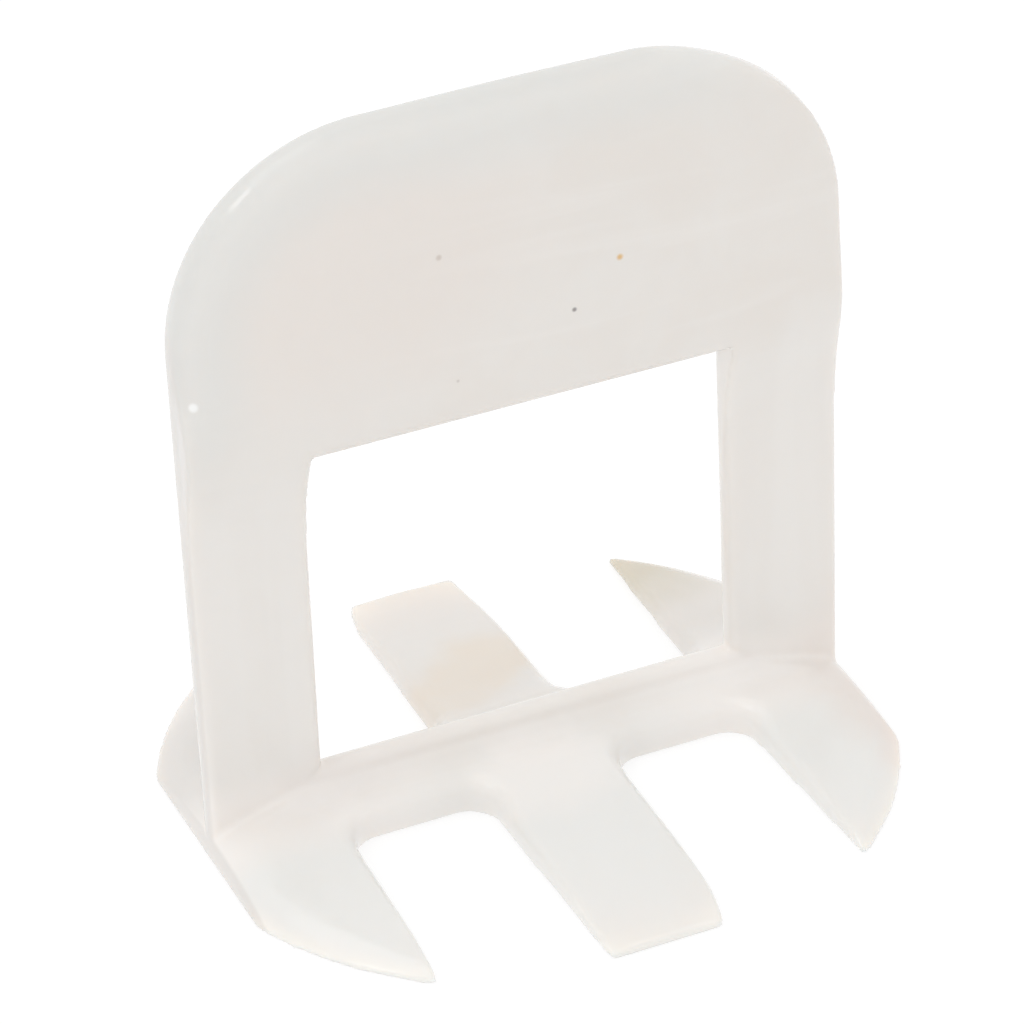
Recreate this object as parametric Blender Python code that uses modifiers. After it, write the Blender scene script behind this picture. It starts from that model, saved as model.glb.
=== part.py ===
# Tile levelling clip, one moulding
# A round foot with open notches lies under the tiles. Two thin posts stand in the joint between them,
# and a wedge is driven through the window under the head.
# Metres, +Z up. The origin is on the underside of the foot, in its middle. The posts stand on the X axis.

import bpy
import bmesh
import math
from mathutils import Matrix, Vector

# Foot, seen from above
footRadius = 0.01875
footHalfLength = 0.0174
footHalfDepth = 0.0169
rimHeight = 0.00025
crownStart = 0.0125
crownPower = 1.55
crownMargin = 0.0001

# Foot, seen from its end
barHalfWidth = 0.0020
barHeight = 0.0019
shoulderRun = 0.0042
prongHeight = 0.00114
tipHeight = 0.00026
tipDropStart = 0.0080
footFilletRadius = 0.0007

# Notches between the prongs
notchRoot = 0.00245
middleProngHalfWidth = 0.0035
middleProngTaper = math.radians(1.15)
outerProngInner = 0.01085
outerProngTaper = math.radians(2.0)
notchCornerRadius = 0.0015
middleTipRadius = 0.0002
outerTipRadius = 0.0005

# One corner of each middle prong is eased, in front on the right and behind on the left
tipEaseRun = 0.0030
tipEaseDepth = 0.0005

# Upright
uprightHalfWidth = 0.0172
uprightHeight = 0.03836
headCornerRadius = 0.0106
postHalfThickness = 0.00065
postEdgeRadius = 0.00042
headFront = 0.0018
headEdgeRadius = 0.00095
headPadInset = 0.00004

# Window for the wedge, and the slope where the posts thicken into the head beside it
windowHalfWidthTop = 0.0110
windowHalfWidthBottom = 0.01115
windowSill = 0.00346
windowTop = 0.0219
headSlopeDrop = 0.0038
headSlopeRise = 0.0017

# Plastic
plasticColour = (0.81, 0.77, 0.72, 1.0)
plasticRoughness = 0.42

# Modelling values
overrun = 0.003
sink = 0.0007
mergeDistance = 0.000002
sharpEdge = math.radians(50)
flatAngle = math.radians(0.5)
sectionSteps = 28
sectionSpacing = 1.5
crownSteps = 10
turnSteps = 96
easeSteps = 6
slopeSteps = 10
edgeSegments = 3
headEdgeSegments = 5
headCornerSegments = 14
padCornerSegments = 13
notchCornerSegments = 6

crownHeight = barHeight + footFilletRadius + crownMargin
headSlopeBottom = windowTop - headSlopeDrop
headSlopeTop = windowTop + headSlopeRise


def clearScene():
    for item in list(bpy.data.objects):
        bpy.data.objects.remove(item, do_unlink=True)


def newCollection(name):
    collection = bpy.data.collections.new(name)
    bpy.context.scene.collection.children.link(collection)
    return collection


def addObject(name, mesh, collection):
    item = bpy.data.objects.new(name, mesh)
    collection.objects.link(item)
    return item


def makeTool(item):
    item.hide_render = True
    item.display_type = "WIRE"
    return item


def boxMesh(name, low, high):
    mesh = bpy.data.meshes.new(name)
    shape = bmesh.new()
    size = Vector(high) - Vector(low)
    centre = (Vector(high) + Vector(low)) / 2
    bmesh.ops.create_cube(shape, size=1.0, matrix=Matrix.Translation(centre) @ Matrix.Diagonal((*size, 1.0)))
    shape.to_mesh(mesh)
    shape.free()
    return mesh


def outlineMesh(name, points, halfLength):
    """A closed flat outline, drawn out both ways along Z."""
    curve = bpy.data.curves.new(name, "CURVE")
    curve.dimensions = "2D"
    curve.fill_mode = "BOTH"
    curve.extrude = halfLength
    spline = curve.splines.new("POLY")
    spline.points.add(len(points) - 1)
    for target, (x, y) in zip(spline.points, points):
        target.co = (x, y, 0.0, 1.0)
    spline.use_cyclic_u = True
    flat = bpy.data.objects.new(name + "Outline", curve)
    bpy.context.scene.collection.objects.link(flat)
    bpy.context.view_layer.update()
    mesh = bpy.data.meshes.new_from_object(flat.evaluated_get(bpy.context.evaluated_depsgraph_get()))
    bpy.data.objects.remove(flat, do_unlink=True)
    mesh.name = name
    shape = bmesh.new()
    shape.from_mesh(mesh)
    bmesh.ops.remove_doubles(shape, verts=shape.verts, dist=mergeDistance)
    bmesh.ops.recalc_face_normals(shape, faces=shape.faces)
    shape.to_mesh(mesh)
    shape.free()
    return mesh


def sectionMesh(name, points, halfLength):
    """An outline in the YZ plane, drawn out both ways along X."""
    mesh = outlineMesh(name, points, halfLength)
    mesh.transform(Matrix(((0, 0, 1, 0), (1, 0, 0, 0), (0, 1, 0, 0), (0, 0, 0, 1))))
    return mesh


def combine(item, tool, operation):
    step = item.modifiers.new(tool.name, "BOOLEAN")
    step.operation = operation
    step.object = tool
    step.solver = "EXACT"
    return step


def bakeModifiers(item):
    graph = bpy.context.evaluated_depsgraph_get()
    mesh = bpy.data.meshes.new_from_object(item.evaluated_get(graph))
    item.modifiers.clear()
    item.data = mesh
    return mesh


def roundEdges(item, radius, segments, wanted):
    """Rounds the sharp convex edges that the test picks by their lower and upper end."""
    shape = bmesh.new()
    shape.from_mesh(item.data)
    bmesh.ops.remove_doubles(shape, verts=shape.verts, dist=mergeDistance)
    bmesh.ops.dissolve_limit(shape, angle_limit=flatAngle, verts=shape.verts, edges=shape.edges)
    chosen = [edge for edge in shape.edges
              if edge.is_convex and edge.calc_face_angle(0.0) > sharpEdge
              and wanted(*sorted((end.co for end in edge.verts), key=lambda point: point.z))]
    bmesh.ops.bevel(shape, geom=chosen, offset=radius, offset_type="OFFSET", segments=segments,
                    profile=0.5, affect="EDGES", clamp_overlap=False)
    shape.to_mesh(item.data)
    shape.free()


def smoothStep(share):
    share = min(max(share, 0.0), 1.0)
    return share * share * (3.0 - 2.0 * share)


def footTop(y):
    """Height of the foot's top face at a distance y from the middle of the bar."""
    height = barHeight + (prongHeight - barHeight) * smoothStep((y - barHalfWidth) / shoulderRun)
    drop = max(0.0, (y - tipDropStart) / (footHalfDepth - tipDropStart))
    height -= (prongHeight - tipHeight) * drop ** 2
    reach = y - postHalfThickness
    if reach < footFilletRadius:
        inset = footFilletRadius - max(reach, 0.0)
        height += footFilletRadius - math.sqrt(footFilletRadius ** 2 - inset ** 2)
    return height


def crownSolid(tools):
    """A lathe-turned cap that thins the foot towards its round rim."""
    mesh = bpy.data.meshes.new("crown")
    shape = bmesh.new()
    profile = [(0.0, crownHeight), (crownStart, crownHeight)]
    for step in range(1, crownSteps + 1):
        share = step / crownSteps
        radius = crownStart + (footRadius - crownStart) * share
        profile.append((radius, rimHeight + (crownHeight - rimHeight) * (1.0 - share ** crownPower)))
    profile += [(footRadius + overrun, rimHeight / 2), (footRadius + overrun, -overrun), (0.0, -overrun)]
    # The profile stands half a step round from the foot's own corners, so the facets never line up
    halfStep = math.pi / turnSteps
    corners = [shape.verts.new((radius * math.cos(halfStep), radius * math.sin(halfStep), height))
               for radius, height in profile]
    for first, second in zip(corners, corners[1:]):
        shape.edges.new((first, second))
    shape.to_mesh(mesh)
    shape.free()
    crown = addObject("crown", mesh, tools)
    turn = crown.modifiers.new("turn", "SCREW")
    turn.steps = turnSteps
    turn.render_steps = turnSteps
    turn.use_merge_vertices = True
    turn.merge_threshold = mergeDistance
    return makeTool(crown)


def footSection(tools):
    """The foot seen from its end: the bar in the middle and the prongs that fall to thin tips."""
    reach = footHalfDepth + overrun
    half = [(postHalfThickness, footTop(postHalfThickness))]
    for step in range(1, sectionSteps + 1):
        share = (step / sectionSteps) ** sectionSpacing
        y = postHalfThickness + (footHalfDepth - postHalfThickness) * share
        half.append((y, footTop(y)))
    half.append((reach, tipHeight / 2))
    points = [(-y, height) for y, height in reversed(half)] + half
    points += [(reach, -overrun), (-reach, -overrun)]
    mesh = sectionMesh("footSection", points, footHalfLength + overrun)
    return makeTool(addObject("footSection", mesh, tools))


def notchTool(side, end, tools):
    """An open notch between two prongs, with its two inner corners rounded."""
    outer = footHalfDepth + overrun
    middleEdge = [(middleProngHalfWidth, notchRoot)]
    easeDepth = tipEaseDepth if side != end else 0.0
    for step in range(easeSteps + 1):
        share = step / easeSteps
        y = footHalfDepth - tipEaseRun * (1.0 - share)
        x = middleProngHalfWidth - (y - notchRoot) * math.tan(middleProngTaper)
        if easeDepth or step == easeSteps:
            middleEdge.append((x - easeDepth * share ** 2, y))
    middleEdge.append((middleEdge[-1][0] - easeDepth, outer))
    far = outerProngInner + (outer - notchRoot) * math.tan(outerProngTaper)
    points = middleEdge + [(far, outer), (outerProngInner, notchRoot)]
    name = "notch_%s_%s" % ("right" if side > 0 else "left", "back" if end > 0 else "front")
    mesh = outlineMesh(name, points, crownHeight + 2 * overrun)
    shape = bmesh.new()
    shape.from_mesh(mesh)
    corners = [edge for edge in shape.edges
               if abs(edge.verts[0].co.z - edge.verts[1].co.z) > overrun
               and max(corner.co.y for corner in edge.verts) < notchRoot + mergeDistance]
    bmesh.ops.bevel(shape, geom=corners, offset=notchCornerRadius, offset_type="OFFSET",
                    segments=notchCornerSegments, profile=0.5, affect="EDGES")
    bmesh.ops.scale(shape, vec=(side, end, 1.0), verts=shape.verts)
    bmesh.ops.recalc_face_normals(shape, faces=shape.faces)
    shape.to_mesh(mesh)
    shape.free()
    return makeTool(addObject(name, mesh, tools))


def buildFoot(tools):
    blank = bpy.data.meshes.new("foot")
    height = crownHeight + overrun
    shape = bmesh.new()
    bmesh.ops.create_cone(shape, cap_ends=True, segments=turnSteps, radius1=footRadius, radius2=footRadius,
                          depth=height, matrix=Matrix.Translation((0, 0, height / 2)))
    shape.to_mesh(blank)
    shape.free()
    foot = addObject("foot", blank, tools)
    straight = boxMesh("straightSides", (-footHalfLength, -footHalfDepth, -overrun),
                       (footHalfLength, footHalfDepth, height + overrun))
    combine(foot, makeTool(addObject("straightSides", straight, tools)), "INTERSECT")
    for side in (-1, 1):
        for end in (-1, 1):
            combine(foot, notchTool(side, end, tools), "DIFFERENCE")
    bakeModifiers(foot)
    between = (middleProngHalfWidth + outerProngInner) / 2
    roundEdges(foot, middleTipRadius, edgeSegments,
               lambda low, high: high.z - low.z > crownHeight and abs(low.x) < between)
    roundEdges(foot, outerTipRadius, edgeSegments,
               lambda low, high: high.z - low.z > crownHeight and abs(low.x) > between)
    combine(foot, crownSolid(tools), "INTERSECT")
    combine(foot, footSection(tools), "INTERSECT")
    return makeTool(foot)


def uprightFront(z):
    """How far the front face stands before the middle plane at height z."""
    share = smoothStep((z - headSlopeBottom) / (headSlopeTop - headSlopeBottom))
    return postHalfThickness + (headFront - postHalfThickness) * share


def headOutline(name, front, back, bottom, inset, segments):
    """A plate with the head's two large round corners."""
    halfWidth = uprightHalfWidth - inset
    height = uprightHeight - inset
    mesh = boxMesh(name, (-halfWidth, front, bottom), (halfWidth, back, height))
    shape = bmesh.new()
    shape.from_mesh(mesh)
    corners = [edge for edge in shape.edges
               if min(end.co.z for end in edge.verts) > height - mergeDistance
               and abs(edge.verts[0].co.y - edge.verts[1].co.y) > mergeDistance]
    bmesh.ops.bevel(shape, geom=corners, offset=headCornerRadius - inset, offset_type="OFFSET",
                    segments=segments, profile=0.5, affect="EDGES")
    shape.to_mesh(mesh)
    shape.free()
    return mesh


def windowTool(name, widening, tools):
    mesh = boxMesh(name, (-windowHalfWidthTop, -headFront - overrun, windowSill),
                   (windowHalfWidthTop, postHalfThickness + overrun, windowTop))
    for corner in mesh.vertices:
        half = windowHalfWidthBottom if corner.co.z < windowSill + mergeDistance else windowHalfWidthTop
        corner.co.x = math.copysign(half + widening, corner.co.x)
    return makeTool(addObject(name, mesh, tools))


def buildHeadPad(tools):
    """The extra thickness on the head's front, with a rounded rim and a slope down to the posts."""
    bottom = headSlopeBottom - overrun
    outline = headOutline("headPad", -headFront, 0.0, bottom, headPadInset, padCornerSegments)
    pad = addObject("headPad", outline, tools)
    roundEdges(pad, headEdgeRadius, headEdgeSegments,
               lambda low, high: max(low.y, high.y) < -headFront / 2 and high.z > bottom + mergeDistance)
    start = headSlopeBottom - postHalfThickness
    heights = [headSlopeBottom + (headSlopeTop - headSlopeBottom) * step / slopeSteps
               for step in range(slopeSteps + 1)]
    points = [(-postHalfThickness / 2, start)] + [(-uprightFront(z), z) for z in heights]
    points += [(-headFront, uprightHeight + overrun), (overrun, uprightHeight + overrun), (overrun, start)]
    slope = sectionMesh("headSlope", points, uprightHalfWidth + overrun)
    combine(pad, makeTool(addObject("headSlope", slope, tools)), "INTERSECT")
    combine(pad, windowTool("headPadWindow", headPadInset, tools), "DIFFERENCE")
    return makeTool(pad)


def buildUpright(parts, tools):
    plate = headOutline("upright", -postHalfThickness, postHalfThickness, sink, 0.0, headCornerSegments)
    upright = addObject("upright", plate, parts)
    combine(upright, windowTool("window", 0.0, tools), "DIFFERENCE")
    bakeModifiers(upright)
    roundEdges(upright, postEdgeRadius, edgeSegments, lambda low, high: high.z > sink + mergeDistance)
    combine(upright, buildHeadPad(tools), "UNION")
    return upright


def plasticMaterial():
    material = bpy.data.materials.new("naturalPlastic")
    material.use_nodes = True
    shader = material.node_tree.nodes["Principled BSDF"]
    shader.inputs["Base Color"].default_value = plasticColour
    shader.inputs["Roughness"].default_value = plasticRoughness
    shader.inputs["Metallic"].default_value = 0.0
    return material


def main():
    clearScene()
    parts = newCollection("tileLevellingClip")
    tools = newCollection("cutters")
    clip = buildUpright(parts, tools)
    combine(clip, buildFoot(tools), "UNION")
    clip.name = "clip"
    clip.data.materials.append(plasticMaterial())


main()
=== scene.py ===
# Tile levelling clip in natural plastic, standing on a pale studio floor
# Everything is in metres: X runs along the posts, -Y is the side with the thicker head, +Z is up

import math

import bmesh
import bpy
from mathutils import Matrix, Vector
from mathutils.bvhtree import BVHTree


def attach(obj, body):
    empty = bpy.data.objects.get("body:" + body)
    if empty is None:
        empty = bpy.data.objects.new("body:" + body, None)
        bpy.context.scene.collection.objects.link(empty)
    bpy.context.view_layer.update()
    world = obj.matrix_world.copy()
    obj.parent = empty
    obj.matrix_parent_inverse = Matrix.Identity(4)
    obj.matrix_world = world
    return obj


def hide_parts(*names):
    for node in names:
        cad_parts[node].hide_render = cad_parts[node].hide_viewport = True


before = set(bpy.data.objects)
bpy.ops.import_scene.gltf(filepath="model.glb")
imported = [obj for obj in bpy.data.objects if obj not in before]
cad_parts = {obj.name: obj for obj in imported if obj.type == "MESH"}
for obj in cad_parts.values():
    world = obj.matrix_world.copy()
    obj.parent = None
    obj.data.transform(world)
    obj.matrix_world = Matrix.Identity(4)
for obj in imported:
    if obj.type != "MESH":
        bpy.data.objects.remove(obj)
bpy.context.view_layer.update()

# Lengths below tiny count as nothing, and edges that turn more than sharpTurn as corners
tiny = 0.00002
cutThreshold = 1e-7
shortestUpright = 0.0008
sharpTurn = math.radians(50)
flatTurn = math.radians(0.3)


def deselectAll():
    if bpy.context.mode != "OBJECT":
        bpy.ops.object.mode_set(mode="OBJECT")
    bpy.ops.object.select_all(action="DESELECT")


def pickPiece(item):
    deselectAll()
    item.select_set(True)
    bpy.context.view_layer.objects.active = item


def openEdit(item, kind):
    # Goes into edit mode on this piece alone, with nothing selected
    pickPiece(item)
    bpy.ops.object.mode_set(mode="EDIT")
    bpy.ops.mesh.select_mode(type=kind)
    bpy.ops.mesh.select_all(action="DESELECT")


def closeEdit():
    bpy.ops.object.mode_set(mode="OBJECT")


def pickPoints(item, wanted):
    shape = bmesh.from_edit_mesh(item.data)
    for point in shape.verts:
        point.select = wanted(point.co)
    shape.select_flush_mode()
    bmesh.update_edit_mesh(item.data)


def isCorner(edge):
    return edge.is_convex and edge.calc_face_angle(0.0) > sharpTurn


def sameHeight(edge, height):
    return all(abs(end.co.z - height) < tiny for end in edge.verts)


def isUpright(edge):
    low, high = sorted(end.co.z for end in edge.verts)
    return high - low > shortestUpright and (edge.verts[0].co.xy - edge.verts[1].co.xy).length < tiny


def runsDeep(edge):
    # From front to back
    return abs(edge.verts[0].co.y - edge.verts[1].co.y) > tiny


def isTip(edge):
    # The upright corner at the end of a prong
    return isUpright(edge) and isCorner(edge) and abs(edge.verts[0].co.y) > footSizes["tipStart"]


def bevelEdges(item, wanted, radius, segments):
    bpy.ops.mesh.select_all(action="DESELECT")
    shape = bmesh.from_edit_mesh(item.data)
    for edge in shape.edges:
        if wanted(edge):
            edge.select = True
    shape.select_flush_mode()
    bmesh.update_edit_mesh(item.data)
    bpy.ops.mesh.bevel(offset=radius, offset_type="OFFSET", segments=segments, profile=0.5,
                       affect="EDGES", clamp_overlap=False)


def dropFlatEdges():
    # Takes out the edges that lie within a flat face
    bpy.ops.mesh.select_all(action="SELECT")
    bpy.ops.mesh.dissolve_limited(angle_limit=flatTurn)


def sliceAcross(places, direction):
    # One cut through the whole piece at each place along the direction
    for place in places:
        bpy.ops.mesh.select_all(action="SELECT")
        bpy.ops.mesh.bisect(plane_co=direction * place, plane_no=direction, threshold=cutThreshold)


def spread(low, high, step):
    # Even places between two ends, about a step apart
    count = max(1, round((high - low) / step))
    return [low + (high - low) * (share + 0.5) / count for share in range(count)]


def applyModifier(item, kind, **settings):
    pickPiece(item)
    change = item.modifiers.new("change", kind)
    for name, value in settings.items():
        setattr(change, name, value)
    bpy.ops.object.modifier_apply(modifier=change.name)


def cutAway(item, cutter):
    applyModifier(item, "BOOLEAN", operation="DIFFERENCE", solver="EXACT", object=cutter)
    bpy.data.objects.remove(cutter, do_unlink=True)


def addBox(name, low, high):
    deselectAll()
    low, high = Vector(low), Vector(high)
    bpy.ops.mesh.primitive_cube_add(size=1.0, location=(low + high) / 2, scale=high - low)
    bpy.ops.object.transform_apply(location=True, rotation=True, scale=True)
    bpy.context.object.name = name
    return bpy.context.object


def easeIn(share):
    share = min(max(share, 0.0), 1.0)
    return share * share * (3.0 - 2.0 * share)


def roundOff(share):
    # A quarter circle: steep at 0, level at 1
    share = min(max(share, 0.0), 1.0)
    return math.sqrt(1.0 - (1.0 - share) ** 2)


def alongCurve(curve, place):
    # Height of a line through a few (place, height) points
    if place <= curve[0][0]:
        return curve[0][1]
    for (lowPlace, low), (highPlace, high) in zip(curve, curve[1:]):
        if place <= highPlace:
            return low + (high - low) * (place - lowPlace) / (highPlace - lowPlace)
    return curve[-1][1]


# The foot: a thin disc with two straight ends, four open notches and a bar along its middle

footSizes = {
    "radius": 0.01875,
    "halfLength": 0.0174,
    "halfDepth": 0.0169,
    "facets": 256,
    "blankHeight": 0.0012,
    "skin": 0.00013,
    "rimHeight": 0.00012,
    "crownStart": 0.0125,
    "crownRise": 0.00155,
    "crownPower": 3.2,
    "crownSwell": 0.0010,
    "ridgeBlend": 0.00018,
    "barHalfWidth": 0.0020,
    "barHeight": 0.0019,
    "shoulderRun": 0.0042,
    "frontProngs": [(0.0060, 0.00126), (0.0080, 0.00117), (0.0100, 0.00106), (0.0115, 0.00095),
                    (0.0125, 0.00084), (0.0136, 0.00070), (0.0150, 0.00053), (0.0162, 0.00036),
                    (0.0169, 0.00025)],
    "rearProngs": [(0.0060, 0.00108), (0.0090, 0.00102), (0.0100, 0.00096), (0.0110, 0.00087),
                   (0.0120, 0.00075), (0.0133, 0.00057), (0.0150, 0.00033), (0.0162, 0.00018),
                   (0.0169, 0.00010)],
    "filletRadius": 0.0015,
    "middleCrown": 0.00016,
    "middleCrownStart": 0.003,
    "middleCrownRun": 0.003,
    "edgeRadii": [(0.0040, 0.0010), (0.0060, 0.0007), (0.0085, 0.00052), (0.0130, 0.00022)],
    "edgeShare": 0.65,
    "thinnest": 0.0001,
    "tipStart": 0.01183,
}

notchSizes = {
    "middleHalfWidth": 0.0035,
    "middleTaper": math.radians(1.15),
    "outerInner": 0.01085,
    "outerTaper": math.radians(2.0),
    "cornerRadius": 0.0015,
    "cornerSegments": 10,
    "middleTipRadius": 0.0002,
    "middleTipSegments": 4,
    "outerTipRadius": 0.0007,
    "outerTipSegments": 6,
    "overhang": 0.002,
    "overlap": 0.001,
    "easeRun": 0.0030,
    "easeDepth": 0.0005,
    "roots": {(-1, -1): 0.00268, (1, -1): 0.00240, (1, 1): 0.00239, (-1, 1): 0.00245},
}

postHalfThickness = 0.00065


def footTop(x, y):
    # Height of the foot's upper face
    s = footSizes
    away = abs(y)
    prong = alongCurve(s["rearProngs"] if y > 0 else s["frontProngs"], away)
    height = s["barHeight"] + (prong - s["barHeight"]) * easeIn((away - s["barHalfWidth"]) / s["shoulderRun"])
    arch = max(0.0, 1.0 - (x / notchSizes["middleHalfWidth"]) ** 2)
    height += s["middleCrown"] * arch * easeIn((away - s["middleCrownStart"]) / s["middleCrownRun"])
    reach = away - postHalfThickness
    if reach < s["filletRadius"]:
        inset = s["filletRadius"] - max(reach, 0.0)
        height += s["filletRadius"] - math.sqrt(s["filletRadius"] ** 2 - inset ** 2)
    # Towards the round rim the top curves down like the edge of a plate
    share = max((math.hypot(x, y) - s["crownStart"]) / (s["radius"] - s["crownStart"]), 0.0)
    crown = s["rimHeight"] + s["crownRise"] * (1.0 - share ** s["crownPower"])
    crown += s["crownSwell"] * (1.0 - share) ** 2
    # The two faces meet in a soft ridge
    blend = s["ridgeBlend"]
    gap = max(blend - abs(crown - height), 0.0) / blend
    return max(min(crown, height) - gap * gap * blend / 4, s["thinnest"])


def makeNotchCutter(side, end):
    n = notchSizes
    root = n["roots"][(side, end)]
    outer = footSizes["halfDepth"] + n["overhang"]
    cutter = addBox("notchCutter", (n["middleHalfWidth"], root, -n["overlap"]),
                    (n["outerInner"], outer, footSizes["blankHeight"] + n["overlap"]))
    run = outer - root
    openEdit(cutter, "VERT")
    pickPoints(cutter, lambda place: place.y > outer - tiny and place.x < n["middleHalfWidth"] + tiny)
    bpy.ops.transform.translate(value=(-run * math.tan(n["middleTaper"]), 0, 0))
    pickPoints(cutter, lambda place: place.y > outer - tiny and place.x > n["outerInner"] - tiny)
    bpy.ops.transform.translate(value=(run * math.tan(n["outerTaper"]), 0, 0))
    bpy.ops.mesh.select_mode(type="EDGE")
    bevelEdges(cutter, lambda edge: isUpright(edge) and edge.verts[0].co.y < root + tiny,
               n["cornerRadius"], n["cornerSegments"])
    bpy.ops.mesh.select_all(action="SELECT")
    bpy.ops.transform.resize(value=(side, end, 1), center_override=(0, 0, 0))
    bpy.ops.mesh.normals_make_consistent(inside=False)
    closeEdit()
    return cutter


def makeFoot():
    s, n = footSizes, notchSizes
    deselectAll()
    bpy.ops.mesh.primitive_cylinder_add(vertices=s["facets"], radius=s["radius"], depth=s["blankHeight"],
                                        location=(0, 0, s["blankHeight"] / 2))
    bpy.ops.object.transform_apply(location=True, rotation=True, scale=True)
    foot = bpy.context.object
    foot.name = "foot"

    openEdit(foot, "VERT")
    for direction, place in ((Vector((1, 0, 0)), s["halfLength"]), (Vector((0, 1, 0)), s["halfDepth"])):
        for sign in (-1, 1):
            bpy.ops.mesh.select_all(action="SELECT")
            bpy.ops.mesh.bisect(plane_co=direction * place * sign, plane_no=direction * sign,
                                use_fill=True, clear_outer=True, threshold=cutThreshold)
    bpy.ops.mesh.select_all(action="SELECT")
    bpy.ops.mesh.normals_make_consistent(inside=False)
    closeEdit()
    for side in (-1, 1):
        for end in (-1, 1):
            cutAway(foot, makeNotchCutter(side, end))

    # Tips, seen from above
    between = (n["middleHalfWidth"] + n["outerInner"]) / 2
    openEdit(foot, "EDGE")
    dropFlatEdges()
    bevelEdges(foot, lambda edge: isTip(edge) and abs(edge.verts[0].co.x) < between,
               n["middleTipRadius"], n["middleTipSegments"])
    bevelEdges(foot, lambda edge: isTip(edge) and abs(edge.verts[0].co.x) > between,
               n["outerTipRadius"], n["outerTipSegments"])
    closeEdit()

    # A fine even skin, whose upper side takes its real heights and rounds over towards the walls
    walls = BVHTree.FromPolygons([point.co for point in foot.data.vertices],
                                 [face.vertices for face in foot.data.polygons if abs(face.normal.z) < 0.5])
    applyModifier(foot, "REMESH", mode="VOXEL", voxel_size=s["skin"])
    for point in foot.data.vertices:
        x, y, z = point.co
        top = footTop(x, y)
        edge = min(alongCurve(s["edgeRadii"], abs(y)), top * s["edgeShare"])
        inward = walls.find_nearest((x, y, s["blankHeight"] / 2))[3]
        rounded = top - edge * (1.0 - roundOff(inward / edge))
        point.co.z = z / s["blankHeight"] * rounded
        share = (abs(y) - s["halfDepth"] + n["easeRun"]) / n["easeRun"]
        if share > 0 and x * y < 0 and abs(x) < between:
            # One tip corner of the middle prong is eased
            ease = n["easeDepth"] * share ** 2 * easeIn(abs(x) / n["middleHalfWidth"])
            point.co.x -= math.copysign(ease, x)
    return foot


# The upright: a plate with the window and round head corners, and a padded front on the head

uprightSizes = {
    "halfWidth": 0.0172,
    "height": 0.03836,
    "sink": 0.0007,
    "cornerRadius": 0.01022,
    "cornerSegments": 28,
    "edgeRadius": 0.00042,
    "edgeSegments": 5,
    "sillRadius": 0.00056,
    "sillSegments": 6,
    "sliceStep": 0.001,
    "topCrown": 0.00007,
    "topCrownRun": 0.007,
    "rightSag": 0.00024,
    "rightSagPlace": 0.0115,
    "rightSagRun": 0.0052,
}

windowSizes = {
    "halfWidthTop": 0.0110,
    "halfWidthBottom": 0.01115,
    "sill": 0.00346,
    "top": 0.0219,
    "lipRadius": 0.00045,
    "lipDepth": 0.00022,
    "lipShare": 0.6,
    "cutterReach": 0.006,
}

headSizes = {
    "sideFront": [(0.0178, 0.00065), (0.0196, 0.00080), (0.0206, 0.00093), (0.0212, 0.00106),
                  (0.0222, 0.00125), (0.0230, 0.00139), (0.0237, 0.00137), (0.0250, 0.00120),
                  (0.0265, 0.00105), (0.0282, 0.00094), (0.0300, 0.00088), (0.0330, 0.00085)],
    "front": [(0.0178, 0.00065), (0.0192, 0.00078), (0.0206, 0.00108), (0.0216, 0.00135),
              (0.0226, 0.00146), (0.0240, 0.00146), (0.0270, 0.00136)],
    "dome": 0.00048,
    "domeRun": 0.0055,
    "rimRadius": 0.00080,
    "rimRadiusTop": 0.00120,
    "rimRise": 0.004,
    "rimDrop": 0.00080,
    "rimTurnStart": math.radians(30),
    "rimTurnRun": math.radians(45),
    "slopeDrop": 0.0041,
    "slopeRise": 0.0017,
    "padInset": 0.00004,
    "blankFront": -0.003,
    "ringWidths": (0.00003, 0.00006, 0.0001, 0.00014, 0.00018, 0.0002, 0.00022, 0.00025, 0.0003),
    "sliceAcross": 0.0006,
    "sliceUp": 0.0005,
}


def fromCorner(x, z):
    # How far a point of the head lies beyond the middle of its corner's arc, across and up
    u = uprightSizes
    return abs(x) - (u["halfWidth"] - u["cornerRadius"]), z - (u["height"] - u["cornerRadius"])


def outlineDistance(x, z):
    # How far a point of the head lies inside its outline
    corner = uprightSizes["cornerRadius"]
    across, up = fromCorner(x, z)
    if across > 0 and up > 0:
        return corner - math.hypot(across, up)
    return corner - max(across, up)


def rimTurn(x, z):
    # 1 along the top and left of the head, where the rim is fully round, and 0 past the right corner
    across, up = fromCorner(x, z)
    if x < 0 or across <= 0:
        return 1.0
    return easeIn((math.atan2(max(up, 0.0), across) - headSizes["rimTurnStart"]) / headSizes["rimTurnRun"])


def headFront(x, z):
    # How far the padded front stands before the middle plane
    h, w = headSizes, windowSizes
    distance = max(outlineDistance(x, z), 0.0)
    above = easeIn((z - w["top"] - h["slopeRise"]) / h["rimRise"])
    rim = h["rimRadius"] + (h["rimRadiusTop"] - h["rimRadius"]) * above
    side, middle = alongCurve(h["sideFront"], z), alongCurve(h["front"], z)
    drop = h["rimDrop"] * above * rimTurn(x, z)
    side -= drop
    rim += drop
    front = side + max(middle - side, 0.0) * roundOff(distance / rim)
    swell = easeIn((z - w["top"] + h["slopeDrop"]) / (h["slopeDrop"] + h["slopeRise"]))
    front += h["dome"] * swell * (1.0 - (1.0 - min(distance / h["domeRun"], 1.0)) ** 2)
    # The edge of the window rounds over, along its top and down its sides
    reach = math.hypot(max(abs(x) - w["halfWidthTop"], 0.0), max(z - w["top"], 0.0))
    lip = min(w["lipDepth"], (front - postHalfThickness) * w["lipShare"])
    return front - lip * (1.0 - roundOff(reach / w["lipRadius"]))


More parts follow.
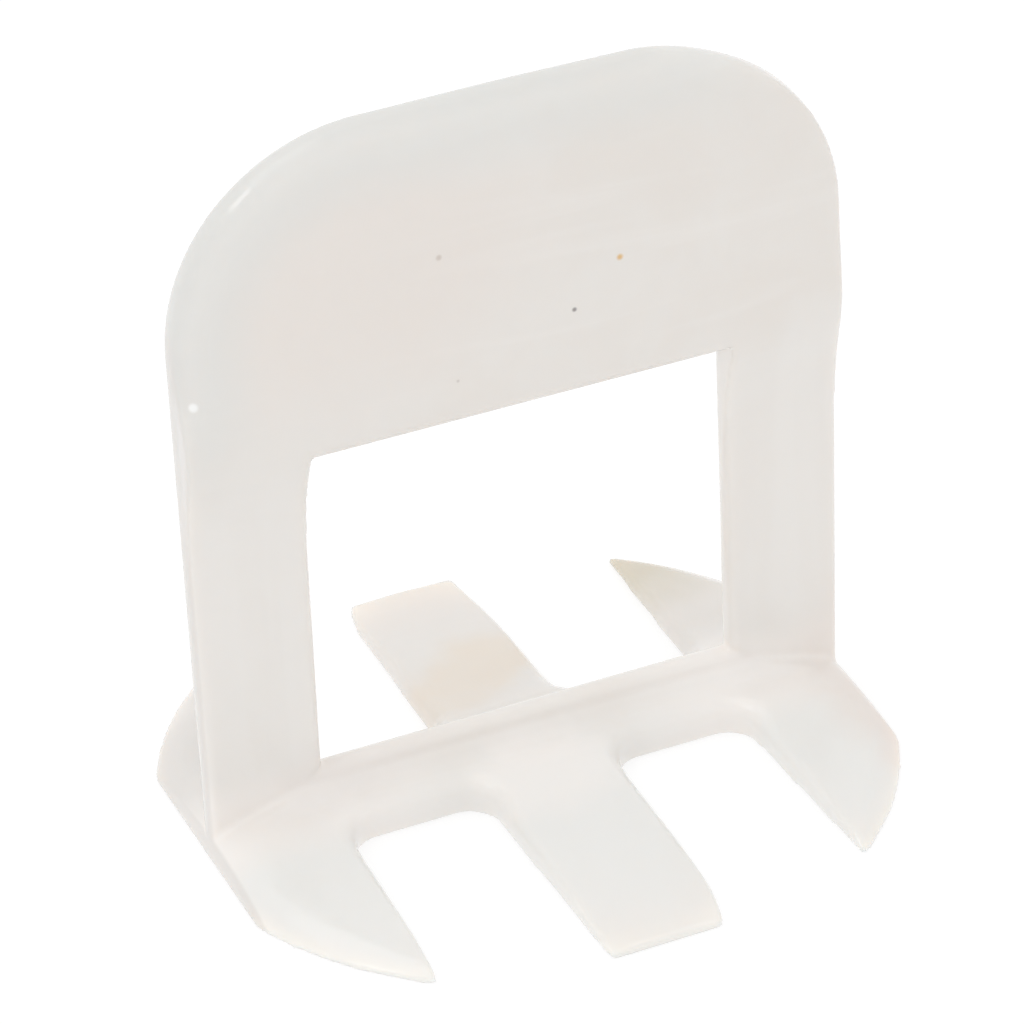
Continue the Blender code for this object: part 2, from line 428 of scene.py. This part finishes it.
def makeHeadShape(name, front, back, bottom, inset):
    u = uprightSizes
    width, top = u["halfWidth"] - inset, u["height"] - inset
    plate = addBox(name, (-width, front, bottom), (width, back, top))
    openEdit(plate, "EDGE")
    bevelEdges(plate, lambda edge: sameHeight(edge, top) and runsDeep(edge),
               u["cornerRadius"] - inset, u["cornerSegments"])
    closeEdit()
    return plate


def crownTop(item):
    # The top edge is highest in its middle and sits a little lower over the right corner
    u = uprightSizes
    for point in item.data.vertices:
        x, z = point.co.x, point.co.z
        share = easeIn((z - u["height"] + u["cornerRadius"]) / u["cornerRadius"])
        sag = max(1.0 - abs(x - u["rightSagPlace"]) / u["rightSagRun"], 0.0)
        point.co.z -= share * (u["topCrown"] * easeIn(abs(x) / u["topCrownRun"]) + u["rightSag"] * easeIn(sag))


def makeWindowCutter(widening):
    w = windowSizes
    cutter = addBox("windowCutter", (-w["halfWidthTop"] - widening, -w["cutterReach"], w["sill"]),
                    (w["halfWidthTop"] + widening, w["cutterReach"], w["top"]))
    openEdit(cutter, "VERT")
    pickPoints(cutter, lambda place: place.z < w["sill"] + tiny)
    factor = (w["halfWidthBottom"] + widening) / (w["halfWidthTop"] + widening)
    bpy.ops.transform.resize(value=(factor, 1, 1), center_override=(0, 0, 0))
    closeEdit()
    return cutter


def makePlate():
    u = uprightSizes
    plate = makeHeadShape("plate", -postHalfThickness, postHalfThickness, u["sink"], 0.0)
    cutAway(plate, makeWindowCutter(0.0))
    openEdit(plate, "EDGE")
    dropFlatEdges()
    bevelEdges(plate, lambda edge: sameHeight(edge, windowSizes["sill"]) and isCorner(edge),
               u["sillRadius"], u["sillSegments"])
    bevelEdges(plate, lambda edge: isCorner(edge) and max(end.co.z for end in edge.verts) > u["sink"] + tiny,
               u["edgeRadius"], u["edgeSegments"])
    sliceAcross(spread(-u["halfWidth"], u["halfWidth"], u["sliceStep"]), Vector((1, 0, 0)))
    closeEdit()
    crownTop(plate)
    return plate


def makePad():
    u, w, h = uprightSizes, windowSizes, headSizes
    bottom = w["top"] - h["slopeDrop"] - postHalfThickness
    front = h["blankFront"]
    pad = makeHeadShape("pad", front, 0.0, bottom, h["padInset"])
    cutAway(pad, makeWindowCutter(h["padInset"]))

    # Rings of points close inside the outline, where the rim rounds over
    openEdit(pad, "FACE")
    shape = bmesh.from_edit_mesh(pad.data)
    for face in shape.faces:
        face.select = face.normal.y < -0.9
    bmesh.update_edit_mesh(pad.data)
    for width in h["ringWidths"]:
        bpy.ops.mesh.inset(thickness=width, depth=0)
    closeEdit()
    openEdit(pad, "VERT")
    sliceAcross(spread(-u["halfWidth"], u["halfWidth"], h["sliceAcross"]), Vector((1, 0, 0)))
    sliceAcross(spread(bottom, u["height"], h["sliceUp"]), Vector((0, 0, 1)))
    closeEdit()
    for point in pad.data.vertices:
        if point.co.y < front / 2:
            point.co.y = -headFront(point.co.x, point.co.z)
    crownTop(pad)
    return pad


# The clip: foot, plate and pad under one even skin

clipSizes = {
    "skin": 0.00014,
    "softness": 0.5,
    "softRounds": 4,
    "triangles": 190000,
}


def makeClip():
    c = clipSizes
    foot, plate, pad = makeFoot(), makePlate(), makePad()
    deselectAll()
    for item in (foot, plate, pad):
        item.select_set(True)
    bpy.context.view_layer.objects.active = foot
    bpy.ops.object.join()
    clip = bpy.context.object
    clip.name = "clipBody"
    clip.data.name = "clipBody"
    applyModifier(clip, "REMESH", mode="VOXEL", voxel_size=c["skin"])
    applyModifier(clip, "SMOOTH", factor=c["softness"], iterations=c["softRounds"])
    count = sum(len(face.vertices) - 2 for face in clip.data.polygons)
    if count > c["triangles"]:
        applyModifier(clip, "DECIMATE", ratio=c["triangles"] / count)
    # The underside stays flat on the floor
    for point in clip.data.vertices:
        point.co.z = max(point.co.z, 0.0)
    bpy.ops.object.shade_smooth()
    return clip


print("modelling the clip")
clip = makeClip()
print("clip has", len(clip.data.polygons), "faces")


# Natural plastic: milky, a little see-through at thin edges, satin, with a few specks, and with light and
# shade painted into its colour in places

plasticLook = {
    "milk": (0.824, 0.792, 0.754, 1.0),
    "cream": (0.810, 0.766, 0.720, 1.0),
    "streakTint": (0.845, 0.812, 0.775, 1.0),
    "postTint": (0.850, 0.820, 0.785, 1.0),
    "blushTint": (0.825, 0.766, 0.718, 1.0),
    "blushShare": 0.75,
    # The next tint is painted light, lighter and cooler on the top of the foot's front
    "paintedFootLight": (0.838, 0.832, 0.808, 1.0),
    # The next two are painted cool light on the head's upper and left rim and painted shade at its very edge
    "paintedRimLight": (0.770, 0.765, 0.740, 1.0),
    "paintedEdgeShade": (0.690, 0.690, 0.670, 1.0),
    # The next two are painted light on the bar, lifting the shade of its crease
    "paintedBarLight": (0.902, 0.862, 0.826, 1.0),
    "barMiddleShares": (0.9, 0.7),
    # The next two are painted shade in the corner beside the left post
    "paintedCornerShade": (0.785, 0.735, 0.700, 1.0),
    "paintedCornerShadeShare": 0.45,
    # The next two are painted shade behind the upright, warm at the middle prong's root and dark at the right
    # prong's tip
    "paintedRootShade": (0.800, 0.722, 0.635, 1.0),
    "paintedTipShade": (0.660, 0.605, 0.495, 1.0),
    # The next three are painted shade: warm on the right end, darker behind the upright and down the left side
    "paintedWarmShade": (0.815, 0.742, 0.690, 1.0),
    "paintedShade": (0.735, 0.705, 0.675, 1.0),
    "paintedShadeShare": 0.8,
    "wobble": 0.0022,
    "patchCore": 0.35,
    "speckSpread": 1.4,
    "gloss": 0.80,
    "glossRoughness": 0.12,
    "refraction": 1.49,
    "glow": 0.55,
    "glowDepth": 0.0009,
    "glowReach": (1.0, 0.72, 0.5),
    "grain": (0.35, 0.000006),
    "wave": (0.5, 0.00003),
}

# The head's rim, where cool light and shade are painted: its width, and where it fades out towards the posts
# and the right side
rimSizes = {
    "width": 0.0046,
    "bottom": 0.019,
    "bottomRun": 0.008,
    "right": 0.0165,
    "rightRun": 0.010,
}

# Scale, detail and distortion of each noise
noises = {
    "cloud": (130.0, 4.0, 0.6),
    "headStreak": (1.0, 3.0, 0.9),
    "postStreak": (1.0, 2.0, 0.4),
    "push": (420.0, 3.0, 0.0),
    "gloss": (520.0, 4.0, 0.3),
    "grain": (2600.0, 3.0, 0.0),
    "wave": (260.0, 2.0, 0.0),
}

# How densely the streaks lie along each axis
stretches = {
    "headStreak": (45.0, 60.0, 420.0),
    "postStreak": (588.0, 60.0, 35.0),
}

# Each band turns the values between the first two numbers into the last two
bands = {
    "cloud": (0.36, 0.66, 0.0, 1.0),
    "headStreak": (0.50, 0.72, 0.0, 0.75),
    "postStreak": (0.36, 0.66, 0.55, 0.9),
    "head": (0.0195, 0.0235, 0.0, 1.0),
    "front": (-0.01719, -0.01700, 0.0, 1.0),
    "postFoot": (0.0025, 0.0050, 0.0, 1.0),
    # From here to sideHeight the bands mark where light and shade are painted
    "low": (0.0016, 0.0034, 1.0, 0.0),
    "ahead": (-0.0045, 0.0005, 0.9, 0.0),
    "rim": (0.0, 0.75, 0.0, 0.8),
    "rimClouds": (0.25, 0.55, 0.6, 1.0),
    "edge": (0.84, 1.0, 0.0, 0.5),
    "barHeight": (0.0028, 0.0050, 1.0, 0.0),
    "barWidth": (0.0022, 0.0052, 1.0, 0.0),
    "barEnds": (0.0040, 0.0110, 0.15, 1.0),
    "behind": (0.0015, 0.0045, 0.0, 0.28),
    "rootClouds": (0.30, 0.60, 0.65, 1.0),
    "sideHeight": (0.0030, 0.0050, 0.95, 1.0),
    "roughness": (0.30, 0.70, 0.32, 0.42),
}

# Place, radius and squeeze along each axis
patches = {
    "blush": ((-0.0088, -0.0016, 0.0312), 0.0110, (0.8, 0.5, 1.1)),
    # The next two are painted light on the bar's middle and painted shade in the corner beside the left post
    "barMiddle": ((-0.0004, -0.0036, 0.0016), 0.0055, (1.0, 1.3, 0.5)),
    "corner": ((-0.0092, -0.0006, 0.0037), 0.0036, (0.8, 1.0, 1.3)),
    # The rest are painted shade: behind the upright, on the right end and down the left side
    "nearRoot": ((-0.0022, 0.0052, 0.0006), 0.0036, (0.8, 1.1, 0.6)),
    "middleRoot": ((-0.0001, 0.0066, 0.0006), 0.0034, (0.8, 1.1, 0.6)),
    "farRoot": ((0.0018, 0.0079, 0.0006), 0.0038, (0.8, 1.2, 0.6)),
    "rearTip": ((0.0112, 0.0158, 0.0004), 0.0090, (1.0, 0.95, 0.6)),
    "rightEnd": ((0.0192, -0.0050, 0.0004), 0.0060, (1.0, 0.7, 0.5)),
    "leftEnd": ((-0.0180, 0.0075, 0.0004), 0.0075, (1.0, 0.9, 0.5)),
}

# Place, radius and colour of each speck that shows in the moulding
specks = [
    ((-0.00415, -0.00175, 0.03108), 0.00017, (0.66, 0.58, 0.52, 1.0)),
    ((0.00263, -0.00180, 0.02646), 0.00013, (0.30, 0.27, 0.26, 1.0)),
    ((-0.00353, -0.00180, 0.02426), 0.00013, (0.40, 0.35, 0.32, 1.0)),
    ((0.00508, -0.00175, 0.02867), 0.00018, (0.75, 0.48, 0.20, 1.0)),
    ((-0.01658, -0.00135, 0.02612), 0.00023, (0.93, 0.93, 0.92, 1.0)),
]

# Nodes stand on a grid, in the order they are made
nodeGrid = {"columns": 12, "width": 200, "height": 260}


def addNode(tree, kind, **settings):
    row, column = divmod(len(tree.nodes), nodeGrid["columns"])
    node = tree.nodes.new(kind)
    node.location = (column * nodeGrid["width"], -row * nodeGrid["height"])
    for name, value in settings.items():
        setattr(node, name, value)
    return node


def wire(tree, source, sink):
    tree.links.new(source, sink)


def addNoise(tree, vector, name):
    noise = addNode(tree, "ShaderNodeTexNoise")
    for socket, value in zip(("Scale", "Detail", "Distortion"), noises[name]):
        noise.inputs[socket].default_value = value
    wire(tree, vector, noise.inputs["Vector"])
    return noise


def addStreaks(tree, vector, name):
    mapping = addNode(tree, "ShaderNodeMapping")
    mapping.inputs["Scale"].default_value = stretches[name]
    wire(tree, vector, mapping.inputs["Vector"])
    return addNoise(tree, mapping.outputs["Vector"], name).outputs["Fac"]


def addRange(tree, value, low, high, lowTo, highTo, smooth=True):
    ramp = addNode(tree, "ShaderNodeMapRange", interpolation_type="SMOOTHSTEP" if smooth else "LINEAR")
    for name, amount in (("From Min", low), ("From Max", high), ("To Min", lowTo), ("To Max", highTo)):
        ramp.inputs[name].default_value = amount
    wire(tree, value, ramp.inputs["Value"])
    return ramp.outputs["Result"]


def addBand(tree, value, name):
    return addRange(tree, value, *bands[name])


def addMath(tree, kind, first, second=0.0):
    node = addNode(tree, "ShaderNodeMath", operation=kind)
    for socket, value in zip(node.inputs, (first, second)):
        if isinstance(value, float):
            socket.default_value = value
        else:
            wire(tree, value, socket)
    return node.outputs["Value"]


def addBlend(tree, share, first, second):
    # Blends the first colour towards the second by the share
    node = addNode(tree, "ShaderNodeMix", data_type="RGBA")
    wire(tree, share, node.inputs["Factor"])
    for socket, value in ((node.inputs["A"], first), (node.inputs["B"], second)):
        if isinstance(value, tuple):
            socket.default_value = value
        else:
            wire(tree, value, socket)
    return node.outputs["Result"]


def addShift(tree, kind, vector, change):
    node = addNode(tree, "ShaderNodeVectorMath", operation=kind)
    wire(tree, vector, node.inputs[0])
    node.inputs[1].default_value = change
    return node.outputs["Vector"]


def addReach(tree, vector, place, radius, squeeze=(1, 1, 1)):
    # 1 close to a place on the piece, falling to 0 at the radius
    away = addShift(tree, "MULTIPLY", addShift(tree, "SUBTRACT", vector, place), squeeze)
    length = addNode(tree, "ShaderNodeVectorMath", operation="LENGTH")
    wire(tree, away, length.inputs[0])
    return addRange(tree, length.outputs["Value"], radius * plasticLook["patchCore"], radius, 1.0, 0.0)


def addBump(tree, name, place, under=None):
    strength, depth = plasticLook[name]
    bump = addNode(tree, "ShaderNodeBump")
    bump.inputs["Strength"].default_value = strength
    bump.inputs["Distance"].default_value = depth
    wire(tree, addNoise(tree, place, name).outputs["Fac"], bump.inputs["Height"])
    if under:
        wire(tree, under, bump.inputs["Normal"])
    return bump.outputs["Normal"]


def markRim(item):
    # How close each point of the head lies to its upper and left outline, for the painted light and shade on
    # the rim
    r = rimSizes
    mark = item.data.attributes.new("rim", "FLOAT", "POINT")
    for point, entry in zip(item.data.vertices, mark.data):
        x, z = point.co.x, point.co.z
        share = 1.0 - max(outlineDistance(x, z), 0.0) / r["width"]
        fade = easeIn((z - r["bottom"]) / r["bottomRun"]) * easeIn((r["right"] - x) / r["rightRun"])
        entry.value = max(share, 0.0) * fade


def addRagged(tree, place):
    # Places that noise has pushed about, so that patches have ragged borders
    push = addNoise(tree, place, "push").outputs["Color"]
    shift = addNode(tree, "ShaderNodeVectorMath", operation="SCALE")
    wire(tree, addShift(tree, "SUBTRACT", push, (0.5, 0.5, 0.5)), shift.inputs[0])
    shift.inputs["Scale"].default_value = plasticLook["wobble"]
    ragged = addNode(tree, "ShaderNodeVectorMath", operation="ADD")
    wire(tree, place, ragged.inputs[0])
    wire(tree, shift.outputs["Vector"], ragged.inputs[1])
    return ragged.outputs["Vector"]


def addColours(tree, place):
    look = plasticLook
    axes = addNode(tree, "ShaderNodeSeparateXYZ")
    wire(tree, place, axes.inputs["Vector"])
    x, y, z = (axes.outputs[name] for name in "XYZ")
    ragged = addRagged(tree, place)

    def times(first, second):
        return addMath(tree, "MULTIPLY", first, second)

    def larger(first, second):
        return addMath(tree, "MAXIMUM", first, second)

    def band(value, name):
        return addBand(tree, value, name)

    def patch(name):
        return addReach(tree, ragged, *patches[name])

    # Slow clouds of milkier and creamier plastic
    cloud = addNoise(tree, place, "cloud").outputs["Fac"]
    colour = addBlend(tree, band(cloud, "cloud"), look["cream"], look["milk"])

    # Flow streaks: across the head, and up and down the posts but not on their left side
    onHead = band(z, "head")
    onFront = band(x, "front")
    onPosts = times(times(addMath(tree, "SUBTRACT", 1.0, onHead), onFront), band(z, "postFoot"))
    headStreaks = times(band(addStreaks(tree, place, "headStreak"), "headStreak"), onHead)
    postStreaks = times(band(addStreaks(tree, place, "postStreak"), "postStreak"), onPosts)
    colour = addBlend(tree, headStreaks, colour, look["streakTint"])
    colour = addBlend(tree, postStreaks, colour, look["postTint"])

    # A warmer patch in the middle left of the head
    colour = addBlend(tree, times(patch("blush"), look["blushShare"]), colour, look["blushTint"])

    # Painted light: the front of the foot is painted lighter and cooler where light falls on its top, and the
    # head's upper rim is painted cooler where light falls from the upper left, with painted shade darkest at
    # its edge
    low = band(z, "low")
    colour = addBlend(tree, times(low, band(y, "ahead")), colour, look["paintedFootLight"])
    rim = addNode(tree, "ShaderNodeAttribute", attribute_name="rim").outputs["Fac"]
    colour = addBlend(tree, times(band(rim, "rim"), band(cloud, "rimClouds")), colour, look["paintedRimLight"])
    colour = addBlend(tree, band(rim, "edge"), colour, look["paintedEdgeShade"])

    # Painted light: the thick bar under the posts is painted lighter at its ends and its middle, less beside
    # the left post, lifting the shade of its crease
    bar = times(band(z, "barHeight"), band(addMath(tree, "ABSOLUTE", y), "barWidth"))
    barMiddle = patch("barMiddle")
    onBar, besideBar = look["barMiddleShares"]
    ends = larger(band(addMath(tree, "ABSOLUTE", x), "barEnds"), times(barMiddle, onBar))
    glow = larger(times(bar, ends), times(barMiddle, besideBar))
    colour = addBlend(tree, glow, colour, look["paintedBarLight"])
    # Painted shade in the corner between the left post and the sill
    colour = addBlend(tree, times(patch("corner"), look["paintedCornerShadeShare"]), colour, look["paintedCornerShade"])

    # Painted shade: the prongs behind the upright are painted darker, with a warmer painted shade at the
    # middle one's root and a darker one at the right one's tip
    colour = addBlend(tree, times(low, band(y, "behind")), colour, look["paintedShade"])
    root = larger(larger(patch("nearRoot"), patch("farRoot")), patch("middleRoot"))
    colour = addBlend(tree, times(root, band(cloud, "rootClouds")), colour, look["paintedRootShade"])
    colour = addBlend(tree, patch("rearTip"), colour, look["paintedTipShade"])

    # Painted shade on the outer ends: warmer and a little darker at the right, away from the cool light from
    # the left, and darker down the left side
    colour = addBlend(tree, patch("rightEnd"), colour, look["paintedWarmShade"])
    leftSide = times(addMath(tree, "SUBTRACT", 1.0, onFront), band(z, "sideHeight"))
    leftShade = times(larger(leftSide, patch("leftEnd")), look["paintedShadeShare"])
    colour = addBlend(tree, leftShade, colour, look["paintedShade"])

    for middle, radius, tint in specks:
        colour = addBlend(tree, addReach(tree, place, middle, radius * look["speckSpread"]), colour, tint)
    return colour


def makePlastic():
    look = plasticLook
    material = bpy.data.materials.new("naturalPlastic")
    material.use_nodes = True
    tree = material.node_tree
    shader = tree.nodes["Principled BSDF"]
    shader.location = ((nodeGrid["columns"] + 1) * nodeGrid["width"], 0)
    tree.nodes["Material Output"].location = ((nodeGrid["columns"] + 3) * nodeGrid["width"], 0)
    place = addNode(tree, "ShaderNodeTexCoord").outputs["Object"]
    wire(tree, addColours(tree, place), shader.inputs["Base Color"])

    # Satin as moulded: uneven roughness, a fine grain and a slow waviness
    uneven = addNoise(tree, place, "gloss").outputs["Fac"]
    wire(tree, addBand(tree, uneven, "roughness"), shader.inputs["Roughness"])
    wire(tree, addBump(tree, "wave", place, addBump(tree, "grain", place)), shader.inputs["Normal"])

    # Light sinks in a little and comes out warmer
    shader.subsurface_method = "BURLEY"
    shader.inputs["Subsurface Weight"].default_value = look["glow"]
    shader.inputs["Subsurface Radius"].default_value = look["glowReach"]
    shader.inputs["Subsurface Scale"].default_value = look["glowDepth"]
    shader.inputs["IOR"].default_value = look["refraction"]
    shader.inputs["Coat Weight"].default_value = look["gloss"]
    shader.inputs["Coat Roughness"].default_value = look["glossRoughness"]
    return material


print("making the plastic")
markRim(clip)
clip.data.materials.clear()
clip.data.materials.append(makePlastic())
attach(clip, "root")
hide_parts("clip")


# Floor, light and camera

floorLook = {
    "size": 3.0,
    "height": -0.00002,
    "colour": (0.38, 0.38, 0.38, 1.0),
    "roughness": 0.9,
    "underLight": 0.54,
    "lift": 0.12,
}

# Each lamp: place, size, power and colour
studioLook = {
    "worldStrength": 0.926,
    "backdrop": 1.0,
    "lampAim": (0, 0, 0.015),
    "overhead": ((-0.21, 0.05, 0.58), 0.37, 0.32, (0.94, 1.0, 1.0)),
    "glint": ((-0.42, -0.092, 0.478), 0.13, 0.16, (1.0, 1.0, 1.0)),
}

# Angles in degrees, lens and sensor in millimetres
cameraLook = {
    "turn": -22.751,
    "tilt": 32.441,
    "roll": -2.525,
    "aim": (-0.000256, 0.0, 0.014879),
    "distance": 0.249118,
    "lens": 179.82,
    "sensor": 36.0,
    "nearest": 0.01,
    "farthest": 10.0,
}


def addSeen(tree, *rays):
    # 1 for the named kinds of ray, 0 for all others
    path = addNode(tree, "ShaderNodeLightPath")
    seen = path.outputs[rays[0]]
    for ray in rays[1:]:
        seen = addMath(tree, "MAXIMUM", seen, path.outputs[ray])
    return seen


def makeFloor():
    look = floorLook
    deselectAll()
    bpy.ops.mesh.primitive_plane_add(size=look["size"], location=(0, 0, look["height"]))
    bpy.ops.object.transform_apply(location=True, rotation=True, scale=True)
    floor = bpy.context.object
    floor.name = "studioFloor"
    material = bpy.data.materials.new("paleFloor")
    material.use_nodes = True
    tree = material.node_tree
    shader = tree.nodes["Principled BSDF"]
    shader.inputs["Base Color"].default_value = look["colour"]
    shader.inputs["Roughness"].default_value = look["roughness"]
    shader.inputs["Specular IOR Level"].default_value = 0.0
    # A softly lit table, which the camera sees lifted to white with the shadow still on it
    seen = addSeen(tree, "Is Camera Ray", "Is Glossy Ray", "Is Transmission Ray")
    lit = addRange(tree, seen, 0.0, 1.0, look["underLight"], look["underLight"] + look["lift"], False)
    shader.inputs["Emission Color"].default_value = (1, 1, 1, 1)
    wire(tree, lit, shader.inputs["Emission Strength"])
    material.cycles.emission_sampling = "NONE"
    floor.data.materials.append(material)


def makeLamp(name):
    place, size, power, colour = studioLook[name]
    lamp = bpy.data.lights.new(name, "AREA")
    lamp.size = size
    lamp.energy = power
    lamp.color = colour
    holder = bpy.data.objects.new(name, lamp)
    bpy.context.scene.collection.objects.link(holder)
    holder.location = place
    holder.rotation_euler = (Vector(place) - Vector(studioLook["lampAim"])).to_track_quat("Z", "Y").to_euler()


def makeWorld():
    world = bpy.data.worlds.new("studio")
    world.use_nodes = True
    tree = world.node_tree
    background = tree.nodes["Background"]
    background.inputs["Color"].default_value = (1, 1, 1, 1)
    seen = addSeen(tree, "Is Camera Ray", "Is Transmission Ray")
    strength = addRange(tree, seen, 0.0, 1.0, studioLook["worldStrength"], studioLook["backdrop"], False)
    wire(tree, strength, background.inputs["Strength"])
    bpy.context.scene.world = world


def makeCamera():
    look = cameraLook
    turn, tilt, roll = (math.radians(look[name]) for name in ("turn", "tilt", "roll"))
    aim, distance = Vector(look["aim"]), look["distance"]
    back = Vector((math.sin(turn) * math.cos(tilt), -math.cos(turn) * math.cos(tilt), math.sin(tilt)))
    right = Vector((math.cos(turn), math.sin(turn), 0.0))
    up = back.cross(right)
    right, up = (right * math.cos(roll) + up * math.sin(roll), up * math.cos(roll) - right * math.sin(roll))
    camera = bpy.data.objects.new("camera", bpy.data.cameras.new("camera"))
    bpy.context.scene.collection.objects.link(camera)
    camera.data.lens = look["lens"]
    camera.data.sensor_width = look["sensor"]
    camera.data.clip_start = look["nearest"]
    camera.data.clip_end = look["farthest"]
    camera.matrix_world = Matrix((
        (right.x, up.x, back.x, aim.x + back.x * distance),
        (right.y, up.y, back.y, aim.y + back.y * distance),
        (right.z, up.z, back.z, aim.z + back.z * distance),
        (0, 0, 0, 1)))
    bpy.context.scene.camera = camera


print("setting up the studio")
makeFloor()
makeLamp("overhead")
makeLamp("glint")
makeWorld()
makeCamera()
bpy.context.scene.view_settings.view_transform = "Standard"
